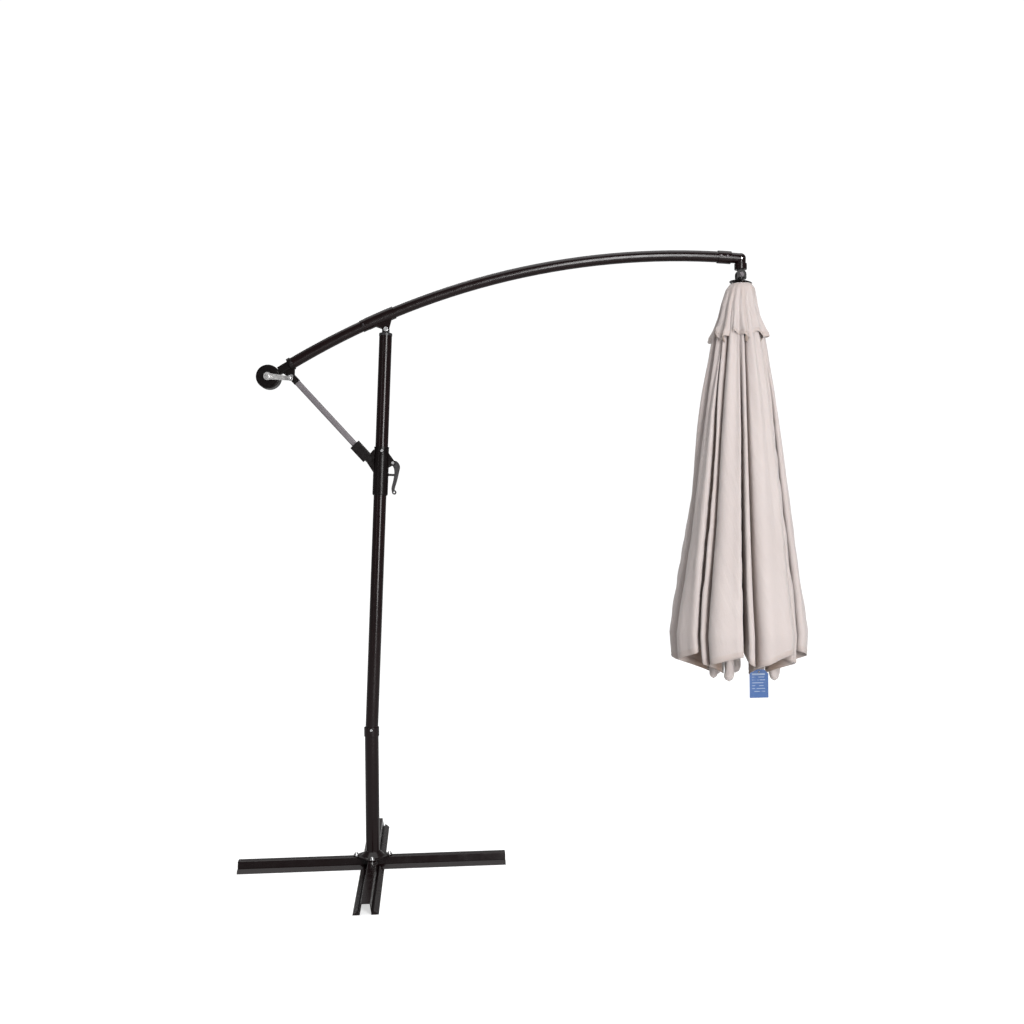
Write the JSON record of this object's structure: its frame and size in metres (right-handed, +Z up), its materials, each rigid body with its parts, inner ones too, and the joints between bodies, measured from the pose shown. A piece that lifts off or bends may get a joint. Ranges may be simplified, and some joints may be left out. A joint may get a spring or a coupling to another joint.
{
  "type": "cantilever parasol",
  "caption": "Cantilever garden parasol with a leaning mast on a cross base, a bent arm with strut, slider and crank, and a furled cloth canopy hanging from its end.",
  "frame": {"origin": "on the floor, in the middle of the cross base, on the lower pole's axis", "axes": "+Z up, +X along the base bar towards the canopy, +Y across, away from the crank handle"},
  "size_m": [2.1992, 1, 2.3362],
  "materials": {
    "black_steel": "glossy near-black powder coat",
    "black_ribs": "satin near-black powder coat",
    "black_plastic": "moulded, fine grain",
    "grey_plastic": "moulded mid grey",
    "shoe_plastic": "moulded, cross ribbed",
    "strut_grey": "silver grey lacquer",
    "bright_steel": "zinc plated",
    "cast_alloy": "cast and polished",
    "white_nylon": "turned nylon",
    "pad_rubber": "moulded rubber",
    "canopy_fabric": "woven polyester, warm cream",
    "tag_card": "printed card, blue"
  },
  "bodies": {
    "stand": {"base_long_bar": "black_steel", "base_leg_pair": "black_steel", "base_plate": "black_steel", "base_fasteners": "bright_steel", "lower_pole": "black_steel", "pole_collar": "black_plastic", "pole_collar_screw": "bright_steel", "main_pole": "black_steel", "pole_top_insert": "grey_plastic", "arm_pivot_bolt": "bright_steel", "arm_pivot_nut": "bright_steel"},
    "arm": {"arm_bracket": "black_plastic", "arm_tube": "black_steel", "tail_tube": "black_steel", "arm_joint_collar": "black_plastic", "arm_screws": "bright_steel", "tail_bracket": "black_plastic", "strut_head_pin": "bright_steel", "drum_shell_front": "black_plastic", "drum_shell_rear": "black_plastic", "drum_screws": "bright_steel", "ratchet_pawl": "cast_alloy", "head_elbow": "black_plastic", "cord_pulley": "white_nylon", "pulley_pin": "bright_steel", "link_bolt": "bright_steel"},
    "slider": {"slider_body": "black_plastic", "slider_bush": "white_nylon", "slider_screw": "bright_steel", "strut_foot_pin": "bright_steel", "lever_pin": "bright_steel", "lever_spring": "bright_steel"},
    "lever": {"lever": "grey_plastic", "lever_plunger": "pad_rubber"},
    "strut": {"strut_bar": "strut_grey", "strut_knuckle": "grey_plastic", "strut_shoe": "shoe_plastic"},
    "crank": {"crank_shaft": "bright_steel", "cord_spool": "white_nylon", "ratchet_wheel": "cast_alloy", "crank_arm": "cast_alloy", "crank_cap": "bright_steel"},
    "knob": {"crank_knob": "cast_alloy"},
    "canopy": {"swivel_link": "black_plastic", "cap_dish": "black_plastic", "crown_hub": "black_plastic", "runner": "black_plastic", "rib_1": "black_ribs", "rib_2": "black_ribs", "rib_3": "black_ribs", "rib_4": "black_ribs", "rib_5": "black_ribs", "rib_6": "black_ribs", "rib_7": "black_ribs", "rib_8": "black_ribs", "rib_tips": "black_plastic", "stretchers": "black_ribs", "canopy_cloth": "canopy_fabric", "vent_cloth": "canopy_fabric", "hang_tag": "tag_card"}
  },
  "joints": [
    {"name": "arm_pivot", "type": "hinge", "parent": "stand", "child": "arm", "pos_m": [0.06904, 0, 2.02543], "axis": [0, 1, 0], "range_deg": [-5, 18]},
    {"name": "slider_slide", "type": "slide", "parent": "stand", "child": "slider", "axis": [0.0454, 0, 0.999], "range_m": [-0.04688, 0.16746]},
    {"name": "strut_swing", "type": "hinge", "parent": "arm", "child": "strut", "pos_m": [-0.28383, 0, 1.84843], "axis": [0, 1, 0], "range_deg": [-27.75, 7.78]},
    {"name": "lever_pull", "type": "hinge", "parent": "slider", "child": "lever", "pos_m": [0.09018, 0, 1.52096], "axis": [0, 1, 0], "range_deg": [-22, 0], "stiffness_Nm_per_rad": 0.6, "springref_deg": 17.19},
    {"name": "crank_spin", "type": "hinge", "parent": "arm", "child": "crank", "pos_m": [-0.36889, 0, 1.84604], "axis": [0, 1, 0], "continuous": true},
    {"name": "knob_spin", "type": "hinge", "parent": "crank", "child": "knob", "pos_m": [-0.28535, 0, 1.83726], "axis": [0, 1, 0], "continuous": true},
    {"name": "canopy_swing", "type": "hinge", "parent": "arm", "child": "canopy", "pos_m": [1.44122, 0, 2.24241], "axis": [0, 1, 0], "range_deg": [-20, 20]}
  ],
  "couplings": [
    {"joint": "slider_slide", "follows": "arm_pivot", "m_per_rad": 0.53146},
    {"joint": "strut_swing", "follows": "arm_pivot", "ratio": -1.5361}
  ]
}
